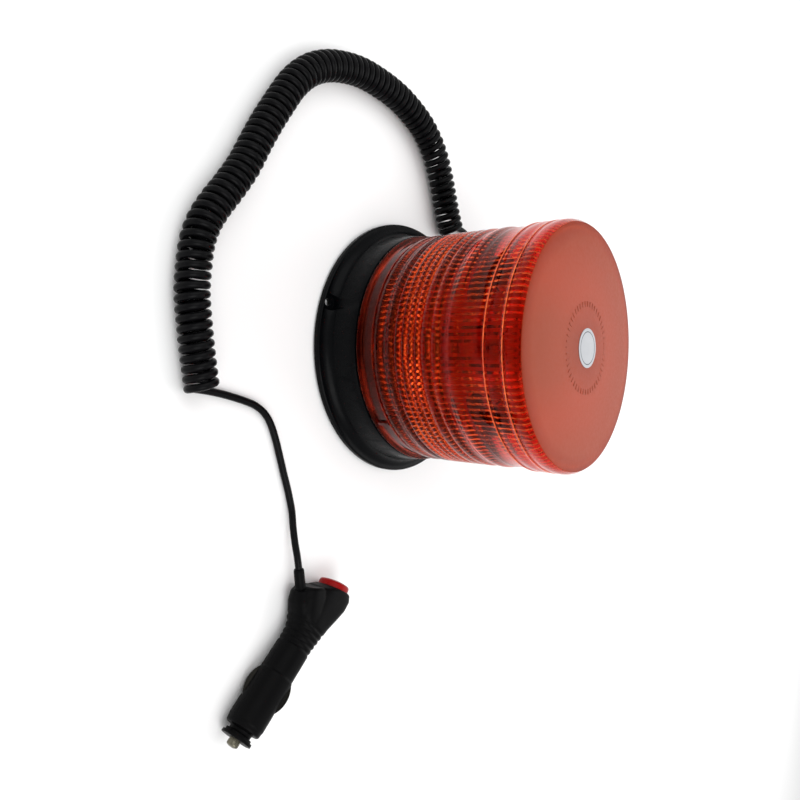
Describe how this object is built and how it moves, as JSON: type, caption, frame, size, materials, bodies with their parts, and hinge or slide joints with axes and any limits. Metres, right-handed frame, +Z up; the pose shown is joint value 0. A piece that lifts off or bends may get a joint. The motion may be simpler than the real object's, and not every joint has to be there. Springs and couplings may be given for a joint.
{
  "type": "magnetic LED warning beacon",
  "caption": "Round magnetic-base beacon with a ribbed amber lens over an LED tower, a curly cord and a 12 V lighter plug with a push switch.",
  "frame": {"origin": "centre of the round base, on the surface it stands on", "axes": "+Z up through the centre of the lens; -Y towards the side of the coiled cord's plug end; X to the right"},
  "size_m": [0.3822, 0.2917, 0.1331],
  "materials": {
    "housing_plastic": "black moulded ABS, satin gloss",
    "plate_steel": "black zinc-plated sheet steel",
    "cup_steel": "zinc-plated steel",
    "ferrite": "dark grey sintered ferrite",
    "pad_rubber": "matt black rubber",
    "screw_steel": "zinc-plated steel",
    "cord_rubber": "black PVC, soft sheen",
    "circuit_board": "green solder mask",
    "component_black": "moulded component bodies",
    "lead_insulation": "PVC insulation",
    "tower_aluminium": "folded sheet, satin",
    "reflector_plastic": "dark metallised plastic",
    "led": "clear epoxy over a yellow chip",
    "amber_lens": "tinted transparent polycarbonate, frosted on the top face",
    "label_white": "white vinyl label",
    "plug_plastic": "black moulded plastic, fine grain",
    "fuse_glass": "clear tube",
    "contact_metal": "nickel-plated brass",
    "spring_steel": "bright spring wire",
    "terminal_brass": "stamped brass",
    "switch_red": "translucent red plastic"
  },
  "bodies": {
    "beacon": {"base_housing": "housing_plastic", "bottom_plate": "plate_steel", "magnet_cup": "cup_steel", "ring_magnet": "ferrite", "magnet_pad": "pad_rubber", "plate_screws": "screw_steel", "lens_seal": "pad_rubber", "cable_gland": "cord_rubber", "gland_nut": "screw_steel", "driver_board": "circuit_board", "board_parts": "component_black", "capacitors": "component_black", "board_screws": "screw_steel", "supply_leads": "lead_insulation", "tower_frame": "tower_aluminium", "tower_screws": "screw_steel", "led_board_1": "circuit_board", "led_board_2": "circuit_board", "led_board_3": "circuit_board", "led_board_4": "circuit_board", "reflector_1": "reflector_plastic", "reflector_2": "reflector_plastic", "reflector_3": "reflector_plastic", "reflector_4": "reflector_plastic", "led_cluster_1": "led", "led_cluster_2": "led", "led_cluster_3": "led", "led_cluster_4": "led", "top_board": "circuit_board", "top_reflector": "reflector_plastic", "top_leds": "led", "cord_lead": "cord_rubber", "cord_coil": "cord_rubber", "cord_tail": "cord_rubber", "strain_relief": "cord_rubber", "plug_shell_upper": "plug_plastic", "plug_shell_lower": "plug_plastic", "plug_screws": "screw_steel", "tip_spring": "spring_steel", "spring_terminal": "terminal_brass", "switch_body": "component_black", "plug_leads": "lead_insulation"},
    "lens": {"lens": "amber_lens", "lens_label": "label_white"},
    "tip": {"tip_contact": "contact_metal", "fuse_glass": "fuse_glass", "fuse_caps": "contact_metal"},
    "left_contact": {"side_contact_left": "contact_metal"},
    "right_contact": {"side_contact_right": "contact_metal"},
    "nut": {"ring_nut": "plug_plastic"},
    "button": {"switch_button": "switch_red"}
  },
  "joints": [
    {"name": "lens_twist", "type": "hinge", "parent": "beacon", "child": "lens", "pos_m": [0, 0, 0.0254], "axis": [0, 0, 1], "range_deg": [0, 20]},
    {"name": "switch_push", "type": "slide", "parent": "beacon", "child": "button", "axis": [0.8443, -0.5358, 0], "range_m": [0, 0.002], "stiffness_N_per_m": 600, "springref_m": -0.002},
    {"name": "tip_push", "type": "slide", "parent": "beacon", "child": "tip", "axis": [-0.6678, 0.7443, 0], "range_m": [0, 0.003], "stiffness_N_per_m": 900, "springref_m": -0.003, "deforming": ["tip_spring"]},
    {"name": "left_contact_push", "type": "slide", "parent": "beacon", "child": "left_contact", "axis": [0.5702, 0.5116, 0.6428], "range_m": [0, 0.0015], "stiffness_N_per_m": 1500, "springref_m": -0.001},
    {"name": "right_contact_push", "type": "slide", "parent": "beacon", "child": "right_contact", "axis": [-0.5702, -0.5116, -0.6428], "range_m": [0, 0.0015], "stiffness_N_per_m": 1500, "springref_m": -0.001},
    {"name": "ring_nut_turn", "type": "hinge", "parent": "beacon", "child": "nut", "pos_m": [0.20251, -0.14497, 0.0106], "axis": [0.6678, -0.7443, 0], "continuous": true}
  ]
}
